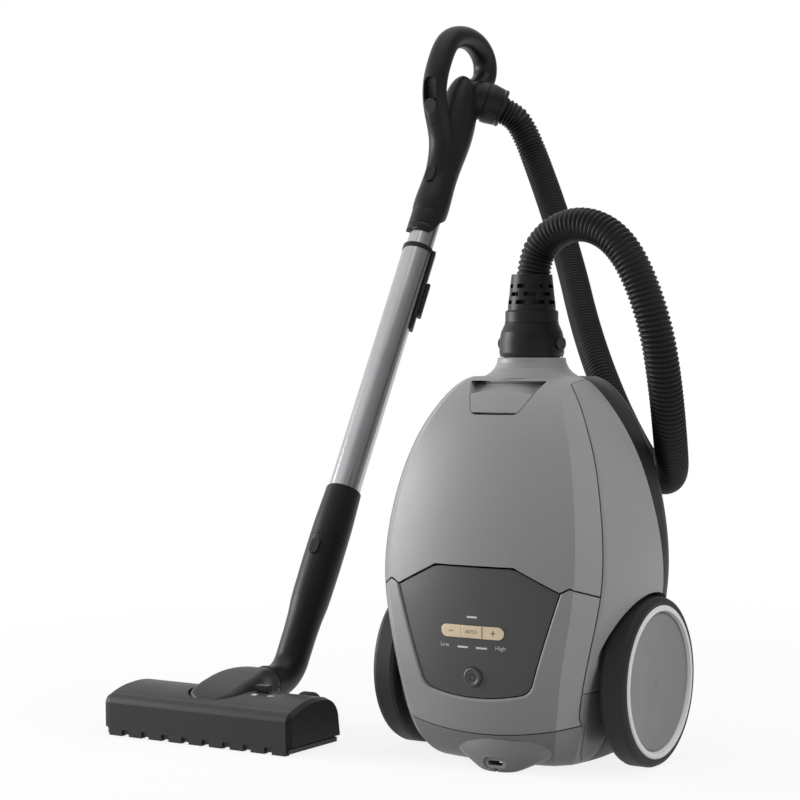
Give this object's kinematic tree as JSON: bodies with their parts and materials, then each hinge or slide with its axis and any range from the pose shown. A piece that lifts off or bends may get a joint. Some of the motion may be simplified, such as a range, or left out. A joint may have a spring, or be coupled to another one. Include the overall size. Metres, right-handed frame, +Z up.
{
  "type": "canister vacuum cleaner",
  "caption": "Canister vacuum cleaner parked upright on its rear end, with hinged dust lid, swivel hose, telescopic wand and a floor nozzle with a brush strip.",
  "frame": {"origin": "on the floor, in the middle of the rubber foot under the parked canister", "axes": "+Z up, the canister's control panel faces -Y, its mid-plane is X = 0, the wand stands on the -X side"},
  "size_m": [0.6198, 0.6491, 0.8534],
  "materials": {
    "body_grey": "moulded, fine satin texture",
    "panel_grey": "satin",
    "chassis_black": "satin",
    "trim_black": "semi-gloss",
    "champagne": "metallic satin",
    "wheel_grey": "satin",
    "tyre_black": "soft tread",
    "seal_black": "matte",
    "tube_silver": "anodised satin",
    "steel": "bare",
    "rotor_alu": "bare",
    "hose_black": "soft, ribbed",
    "lens_white": "diffuse",
    "board_green": "solder mask",
    "bag_cloth": "non-woven",
    "filter_white": "non-woven",
    "bristle": "tufted"
  },
  "bodies": {
    "canister": {"side_cover_left": "body_grey", "side_cover_right": "body_grey", "rear_cover": "body_grey", "rear_bumper": "body_grey", "cord_outlet": "trim_black", "control_panel": "panel_grey", "indicator_lenses": "lens_white", "control_board": "board_green", "chassis": "chassis_black", "rear_foot": "seal_black", "inlet_collar": "body_grey", "bulkhead": "chassis_black", "motor_filter": "filter_white", "motor_can": "steel", "motor_cradle": "chassis_black", "dust_bag": "bag_cloth", "bag_holder": "chassis_black"},
    "lid": {"dust_lid": "body_grey", "lid_gasket": "seal_black"},
    "latch": {"lid_latch": "panel_grey"},
    "minus_key": {"minus_button": "champagne"},
    "auto_key": {"auto_button": "champagne"},
    "plus_key": {"plus_button": "champagne"},
    "power_key": {"power_button": "trim_black"},
    "rotor": {"fan_rotor": "rotor_alu"},
    "reel": {"cord_reel": "chassis_black"},
    "wheel_right": {"tyre_right": "tyre_black", "rim_right": "wheel_grey", "hub_cap_right": "wheel_grey"},
    "wheel_left": {"tyre_left": "tyre_black", "rim_left": "wheel_grey", "hub_cap_left": "wheel_grey"},
    "caster": {"caster_fork": "trim_black"},
    "caster_roller": {"caster_wheel": "seal_black"},
    "hose": {"hose_cuff": "trim_black", "bend_guard": "trim_black", "suction_hose": "hose_black", "outer_tube": "tube_silver", "guide_ring": "trim_black", "lower_cuff": "trim_black", "nozzle_neck": "trim_black"},
    "cuff_key_right": {"cuff_button_right": "trim_black"},
    "cuff_key_left": {"cuff_button_left": "trim_black"},
    "grip": {"handle": "trim_black", "inner_tube": "tube_silver", "hose_ring": "trim_black"},
    "air_valve": {"air_slider": "trim_black"},
    "grip_key": {"handle_button": "trim_black"},
    "neck_key": {"neck_button": "trim_black"},
    "tube_lock": {"lock_slider": "trim_black"},
    "swivel": {"swivel_hump": "chassis_black"},
    "nozzle": {"nozzle_housing": "chassis_black", "end_cap_left": "trim_black", "end_cap_right": "trim_black", "nozzle_sole": "chassis_black"},
    "floor_switch": {"floor_knob": "trim_black"},
    "brush": {"brush_strip": "bristle"},
    "roller_left": {"nozzle_wheel_left": "seal_black"},
    "roller_right": {"nozzle_wheel_right": "seal_black"}
  },
  "joints": [
    {"name": "wheel_right_roll", "type": "hinge", "parent": "canister", "child": "wheel_right", "pos_m": [0.135, 0.006, 0.088], "axis": [1, 0, 0], "continuous": true},
    {"name": "wheel_left_roll", "type": "hinge", "parent": "canister", "child": "wheel_left", "pos_m": [-0.135, 0.006, 0.088], "axis": [1, 0, 0], "continuous": true},
    {"name": "caster_swivel", "type": "hinge", "parent": "canister", "child": "caster", "pos_m": [0, 0.058, 0.335], "axis": [0, 1, 0], "continuous": true},
    {"name": "caster_roll", "type": "hinge", "parent": "caster", "child": "caster_roller", "pos_m": [0, 0.08, 0.329], "axis": [1, 0, 0], "continuous": true},
    {"name": "lid_hinge", "type": "hinge", "parent": "canister", "child": "lid", "pos_m": [0, -0.106, 0.178], "axis": [1, 0, 0], "range_deg": [0, 65]},
    {"name": "latch_tilt", "type": "hinge", "parent": "lid", "child": "latch", "pos_m": [0, -0.0742, 0.368], "axis": [1, 0, 0], "range_deg": [0, 10], "stiffness_Nm_per_rad": 0.05},
    {"name": "minus_press", "type": "slide", "parent": "canister", "child": "minus_key", "axis": [0, 1, 0], "range_m": [0, 0.0012], "stiffness_N_per_m": 150},
    {"name": "auto_press", "type": "slide", "parent": "canister", "child": "auto_key", "axis": [0, 1, 0], "range_m": [0, 0.0012], "stiffness_N_per_m": 150},
    {"name": "plus_press", "type": "slide", "parent": "canister", "child": "plus_key", "axis": [0, 1, 0], "range_m": [0, 0.0012], "stiffness_N_per_m": 150},
    {"name": "power_press", "type": "slide", "parent": "canister", "child": "power_key", "axis": [0, 1, 0], "range_m": [0, 0.002], "stiffness_N_per_m": 150},
    {"name": "rotor_spin", "type": "hinge", "parent": "canister", "child": "rotor", "pos_m": [0, -0.016, 0.12], "axis": [1, 0, 0], "continuous": true},
    {"name": "reel_spin", "type": "hinge", "parent": "canister", "child": "reel", "pos_m": [0.069, -0.014, 0.128], "axis": [1, 0, 0], "continuous": true},
    {"name": "hose_swivel", "type": "hinge", "parent": "canister", "child": "hose", "pos_m": [0, 0.002, 0.403], "axis": [0, 0, 1], "range_deg": [0, 70]},
    {"name": "cuff_right_press", "type": "slide", "parent": "hose", "child": "cuff_key_right", "axis": [-1, 0, 0], "range_m": [0, 0.002], "stiffness_N_per_m": 150},
    {"name": "cuff_left_press", "type": "slide", "parent": "hose", "child": "cuff_key_left", "axis": [1, 0, 0], "range_m": [0, 0.002], "stiffness_N_per_m": 150},
    {"name": "wand_extend", "type": "slide", "parent": "hose", "child": "grip", "axis": [0, 0.5, 0.866], "range_m": [0, 0.33], "deforming": ["suction_hose"]},
    {"name": "air_valve_slide", "type": "slide", "parent": "grip", "child": "air_valve", "axis": [0, -0.114, 0.9935], "range_m": [0, 0.026]},
    {"name": "grip_key_press", "type": "slide", "parent": "grip", "child": "grip_key", "axis": [0, 0.866, -0.5], "range_m": [0, 0.002], "stiffness_N_per_m": 150},
    {"name": "neck_key_press", "type": "slide", "parent": "hose", "child": "neck_key", "axis": [0, 0.866, -0.5], "range_m": [0, 0.0012], "stiffness_N_per_m": 150},
    {"name": "tube_lock_slide", "type": "slide", "parent": "hose", "child": "tube_lock", "axis": [0, 0.5, 0.866], "range_m": [0, 0.015]},
    {"name": "neck_swivel", "type": "hinge", "parent": "hose", "child": "swivel", "pos_m": [-0.3275, -0.03, 0.05], "axis": [0, 1, 0], "range_deg": [-30, 30]},
    {"name": "nozzle_pitch", "type": "hinge", "parent": "swivel", "child": "nozzle", "pos_m": [-0.3275, -0.112, 0.038], "axis": [1, 0, 0], "range_deg": [-45, 0]},
    {"name": "floor_switch_slide", "type": "slide", "parent": "nozzle", "child": "floor_switch", "axis": [1, 0, 0], "range_m": [0, 0.018]},
    {"name": "brush_drop", "type": "slide", "parent": "nozzle", "child": "brush", "axis": [0, 0, -1], "range_m": [0, 0.0025]},
    {"name": "roller_left_roll", "type": "hinge", "parent": "nozzle", "child": "roller_left", "pos_m": [-0.3915, -0.036, 0.024], "axis": [1, 0, 0], "continuous": true},
    {"name": "roller_right_roll", "type": "hinge", "parent": "nozzle", "child": "roller_right", "pos_m": [-0.2635, -0.036, 0.024], "axis": [1, 0, 0], "continuous": true}
  ],
  "couplings": [
    {"joint": "brush_drop", "follows": "floor_switch_slide", "ratio": 0.13889}
  ]
}
